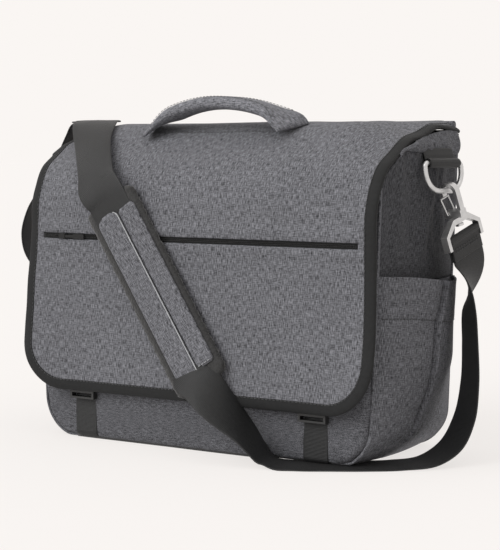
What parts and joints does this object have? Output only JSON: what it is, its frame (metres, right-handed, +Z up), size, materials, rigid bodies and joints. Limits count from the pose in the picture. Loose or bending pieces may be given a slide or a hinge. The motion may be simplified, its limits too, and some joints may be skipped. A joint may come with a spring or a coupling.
{
  "type": "messenger bag",
  "caption": "Padded messenger bag with a fold-over flap, side pockets, a carry handle and a padded shoulder strap on snap hooks.",
  "frame": {"origin": "centre of the base panel's underside, on the surface that the bag stands on", "axes": "+Z up, -Y the front with the flap's face, +X along the width to the right as seen from the front"},
  "size_m": [0.5656, 0.2287, 0.359],
  "materials": {
    "heather_fabric": "woven heather grey, matte",
    "base_fabric": "coated plain weave, matte",
    "lining_fabric": "plain weave, slight sheen",
    "binding_tape": "ribbed tape, matte",
    "webbing": "smooth webbing, slight sheen",
    "pad_mesh": "spacer mesh, matte",
    "black_plastic": "moulded, satin",
    "dark_metal": "dark coated, satin",
    "cast_metal": "satin cast",
    "wire_metal": "bright wire"
  },
  "bodies": {
    "bag": {"front_panel": "heather_fabric", "back_panel": "heather_fabric", "base_panel": "base_fabric", "gusset_left": "heather_fabric", "gusset_right": "heather_fabric", "lining": "lining_fabric", "laptop_divider": "lining_fabric", "bottle_pocket_left": "heather_fabric", "bottle_pocket_right": "heather_fabric", "compression_strap_left": "webbing", "compression_strap_right": "webbing", "ring_tab_left": "webbing", "ring_tab_right": "webbing", "shoulder_strap_lower": "webbing", "shoulder_strap_side": "webbing", "strap_adjuster": "black_plastic"},
    "flap": {"flap_shell": "heather_fabric", "flap_lining": "lining_fabric", "flap_binding": "binding_tape", "flap_hinge": "heather_fabric", "zip_track": "binding_tape", "handle_anchor_left": "heather_fabric", "handle_anchor_right": "heather_fabric", "buckle_socket_left": "black_plastic", "buckle_socket_right": "black_plastic", "shoulder_strap_upper": "webbing"},
    "carry_handle": {"handle": "heather_fabric"},
    "zip_slider": {"zip_slider": "dark_metal"},
    "zip_pull": {"zip_pull": "dark_metal"},
    "shoulder_pad": {"pad_base": "pad_mesh", "pad_cover": "heather_fabric"},
    "buckle_prong_right": {"buckle_prong_right": "black_plastic"},
    "ring_right": {"d_ring_right": "cast_metal"},
    "hook_right": {"hook_body_right": "cast_metal"},
    "gate_right": {"hook_gate_right": "wire_metal"},
    "yoke_right": {"hook_yoke_right": "cast_metal", "strap_end_right": "webbing"},
    "buckle_prong_left": {"buckle_prong_left": "black_plastic"},
    "ring_left": {"d_ring_left": "cast_metal"},
    "hook_left": {"hook_body_left": "cast_metal"},
    "gate_left": {"hook_gate_left": "wire_metal"},
    "yoke_left": {"hook_yoke_left": "cast_metal", "strap_end_left": "webbing"}
  },
  "joints": [
    {"name": "flap_hinge", "type": "hinge", "parent": "bag", "child": "flap", "pos_m": [0, 0.079, 0.3288], "axis": [-1, 0, 0], "range_deg": [0, 110]},
    {"name": "handle_tip", "type": "hinge", "parent": "flap", "child": "carry_handle", "pos_m": [0, -0.041, 0.3354], "axis": [1, 0, 0], "range_deg": [-25, 40]},
    {"name": "zip_slide", "type": "slide", "parent": "flap", "child": "zip_slider", "axis": [1, 0, 0], "range_m": [-0.026, 0.325]},
    {"name": "zip_pull_turn", "type": "hinge", "parent": "zip_slider", "child": "zip_pull", "pos_m": [-0.1566, -0.1017, 0.214], "axis": [0, 0, -1], "range_deg": [0, 90]},
    {"name": "pad_slide", "type": "slide", "parent": "flap", "child": "shoulder_pad", "axis": [0.5434, 0, -0.8395], "range_m": [-0.01, 0.01]},
    {"name": "buckle_right_clip", "type": "slide", "parent": "bag", "child": "buckle_prong_right", "axis": [0, 0, 1], "range_m": [0, 0.02]},
    {"name": "ring_right_swing", "type": "hinge", "parent": "bag", "child": "ring_right", "pos_m": [0.227, 0.008, 0.291], "axis": [-0.1736, -0.9848, 0], "range_deg": [0, 60]},
    {"name": "hook_right_swing", "type": "hinge", "parent": "ring_right", "child": "hook_right", "pos_m": [0.23065, 0.01243, 0.26415], "axis": [-0.1736, -0.9848, 0], "range_deg": [-10, 10]},
    {"name": "gate_right_open", "type": "hinge", "parent": "hook_right", "child": "gate_right", "pos_m": [0.23127, 0.0197, 0.24161], "axis": [0.1333, 0.9422, 0.3073], "range_deg": [0, 28], "stiffness_Nm_per_rad": 0.003, "springref_deg": -17.19},
    {"name": "yoke_right_swivel", "type": "hinge", "parent": "hook_right", "child": "yoke_right", "pos_m": [0.23821, 0.02067, 0.23561], "axis": [-0.1516, -0.2871, 0.9458], "range_deg": [-12, 12]},
    {"name": "buckle_left_clip", "type": "slide", "parent": "bag", "child": "buckle_prong_left", "axis": [0, 0, 1], "range_m": [0, 0.02]},
    {"name": "ring_left_swing", "type": "hinge", "parent": "bag", "child": "ring_left", "pos_m": [-0.227, 0.008, 0.291], "axis": [-0.1736, 0.9848, 0], "range_deg": [0, 15]},
    {"name": "hook_left_swing", "type": "hinge", "parent": "ring_left", "child": "hook_left", "pos_m": [-0.23065, 0.01243, 0.26415], "axis": [-0.1736, 0.9848, 0], "range_deg": [-8, 8]},
    {"name": "gate_left_open", "type": "hinge", "parent": "hook_left", "child": "gate_left", "pos_m": [-0.23013, 0.01252, 0.24046], "axis": [0.1736, -0.9848, 0], "range_deg": [0, 28], "stiffness_Nm_per_rad": 0.003, "springref_deg": -17.19},
    {"name": "yoke_left_swivel", "type": "hinge", "parent": "hook_left", "child": "yoke_left", "pos_m": [-0.23673, 0.01136, 0.23413], "axis": [-0.1029, -0.0182, -0.9945], "range_deg": [-12, 12]}
  ]
}
